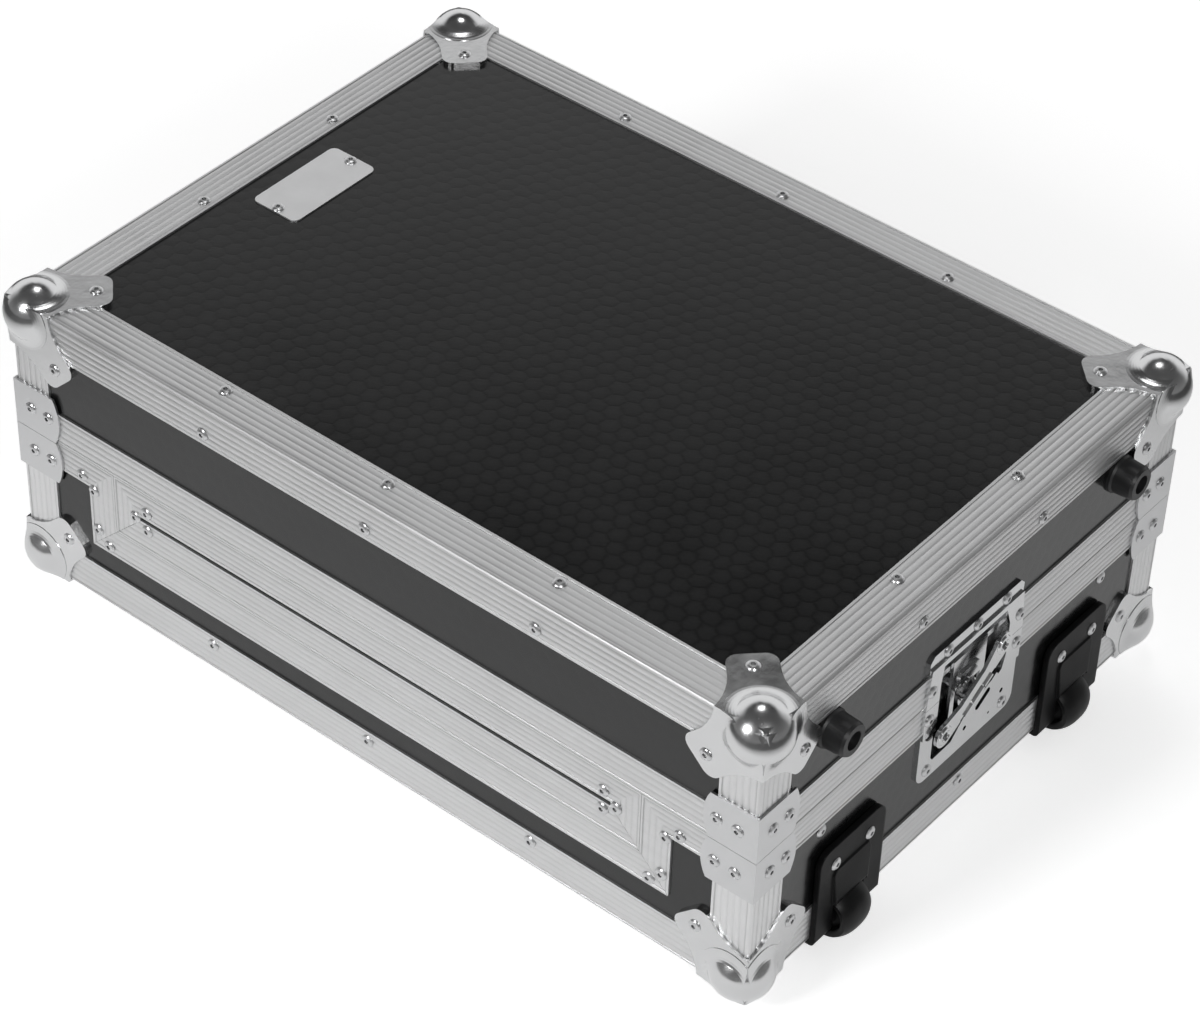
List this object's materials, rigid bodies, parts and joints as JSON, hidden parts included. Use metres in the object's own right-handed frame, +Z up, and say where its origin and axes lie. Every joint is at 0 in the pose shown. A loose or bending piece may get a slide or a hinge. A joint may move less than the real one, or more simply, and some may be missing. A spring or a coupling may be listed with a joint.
{
  "type": "dj coffin case",
  "caption": "Flight case of black laminated boards in fluted aluminium edging, with a lift-off lid, a removable front panel, end latches and corner wheels.",
  "frame": {"origin": "centre of the overall box, on the surface the case rests on", "axes": "+X along the case to the end with the wheels, -Y the front with the removable panel, +Z up"},
  "size_m": [0.6395, 0.4598, 0.2505],
  "materials": {
    "black_laminate": "phenolic film on plywood, satin, faint pressed pattern",
    "fluted_aluminium": "satin anodised, fluted",
    "polished_steel": "polished plating",
    "plated_steel": "bright plated",
    "fastener_steel": "plated",
    "latch_steel": "bright zinc plated",
    "lining_foam": "open-cell foam",
    "black_rubber": "matte",
    "black_plastic": "moulded",
    "wheel_tread": "hard rubber"
  },
  "bodies": {
    "base": {"base_floor_panel": "black_laminate", "base_front_panel": "black_laminate", "base_rear_panel": "black_laminate", "base_left_panel": "black_laminate", "base_right_panel": "black_laminate", "base_bottom_angles": "fluted_aluminium", "base_corner_angles": "fluted_aluminium", "base_rims": "fluted_aluminium", "base_ball_corners": "polished_steel", "base_corner_braces": "plated_steel", "base_rivets": "fastener_steel", "base_floor_foam": "lining_foam", "base_wall_foam": "lining_foam", "base_feet": "black_rubber", "base_foot_screws": "fastener_steel", "opening_liner": "fluted_aluminium", "wheel_housings": "black_plastic", "wheel_axles": "fastener_steel", "right_latch_dish": "latch_steel", "left_latch_dish": "latch_steel", "handle_dish": "latch_steel"},
    "lid": {"lid_top_panel": "black_laminate", "lid_front_panel": "black_laminate", "lid_rear_panel": "black_laminate", "lid_left_panel": "black_laminate", "lid_right_panel": "black_laminate", "lid_top_angles": "fluted_aluminium", "lid_corner_angles": "fluted_aluminium", "lid_rims": "fluted_aluminium", "lid_ball_corners": "polished_steel", "lid_corner_braces": "plated_steel", "lid_rivets": "fastener_steel", "lid_top_foam": "lining_foam", "lid_wall_foam": "lining_foam", "lid_feet": "black_rubber", "lid_foot_screws": "fastener_steel", "name_plate": "plated_steel", "right_latch_keeper": "latch_steel", "left_latch_keeper": "latch_steel"},
    "front_panel": {"front_panel_board": "black_laminate", "front_panel_top_rim": "fluted_aluminium", "front_panel_edging": "fluted_aluminium", "front_panel_foam": "lining_foam", "front_panel_rivets": "fastener_steel"},
    "front_wheel": {"front_wheel_tyre": "wheel_tread", "front_wheel_hub": "black_plastic"},
    "rear_wheel": {"rear_wheel_tyre": "wheel_tread", "rear_wheel_hub": "black_plastic"},
    "right_spindle": {"right_latch_spindle": "latch_steel"},
    "right_wing": {"right_latch_wing": "latch_steel", "right_latch_wing_pin": "fastener_steel"},
    "right_hook": {"right_latch_hook": "latch_steel"},
    "left_spindle": {"left_latch_spindle": "latch_steel"},
    "left_wing": {"left_latch_wing": "latch_steel", "left_latch_wing_pin": "fastener_steel"},
    "left_hook": {"left_latch_hook": "latch_steel"},
    "handle": {"handle_bail": "latch_steel", "handle_grip": "black_rubber"}
  },
  "joints": [
    {"name": "lid_lift", "type": "slide", "parent": "base", "child": "lid", "axis": [0, 0, 1], "range_m": [0, 0.24]},
    {"name": "front_panel_lift", "type": "slide", "parent": "base", "child": "front_panel", "axis": [0, 0, 1], "range_m": [0, 0.084]},
    {"name": "front_wheel_spin", "type": "hinge", "parent": "base", "child": "front_wheel", "pos_m": [0.29925, -0.122, 0.0205], "axis": [0, 1, 0], "continuous": true},
    {"name": "rear_wheel_spin", "type": "hinge", "parent": "base", "child": "rear_wheel", "pos_m": [0.29925, 0.122, 0.0205], "axis": [0, 1, 0], "continuous": true},
    {"name": "right_latch_turn", "type": "hinge", "parent": "base", "child": "right_spindle", "pos_m": [0.30325, 0, 0.1175], "axis": [1, 0, 0], "range_deg": [0, 180]},
    {"name": "right_wing_fold", "type": "hinge", "parent": "right_spindle", "child": "right_wing", "pos_m": [0.30845, 0, 0.1175], "axis": [0, 0.848, 0.5299], "range_deg": [0, 95]},
    {"name": "right_hook_lift", "type": "slide", "parent": "base", "child": "right_hook", "axis": [0, 0, 1], "range_m": [0, 0.008]},
    {"name": "left_latch_turn", "type": "hinge", "parent": "base", "child": "left_spindle", "pos_m": [-0.30975, 0, 0.1175], "axis": [-1, 0, 0], "range_deg": [0, 180]},
    {"name": "left_wing_fold", "type": "hinge", "parent": "left_spindle", "child": "left_wing", "pos_m": [-0.31495, 0, 0.1175], "axis": [0, -0.848, 0.5299], "range_deg": [0, 95]},
    {"name": "left_hook_lift", "type": "slide", "parent": "base", "child": "left_hook", "axis": [0, 0, 1], "range_m": [0, 0.008]},
    {"name": "handle_swing", "type": "hinge", "parent": "base", "child": "handle", "pos_m": [-0.00325, 0.212, 0.0945], "axis": [1, 0, 0], "range_deg": [0, 90]}
  ],
  "couplings": [
    {"joint": "front_panel_lift", "follows": "lid_lift", "ratio": 0.35},
    {"joint": "right_hook_lift", "follows": "right_latch_turn", "m_per_rad": 0.002546},
    {"joint": "left_hook_lift", "follows": "left_latch_turn", "m_per_rad": 0.002546}
  ]
}
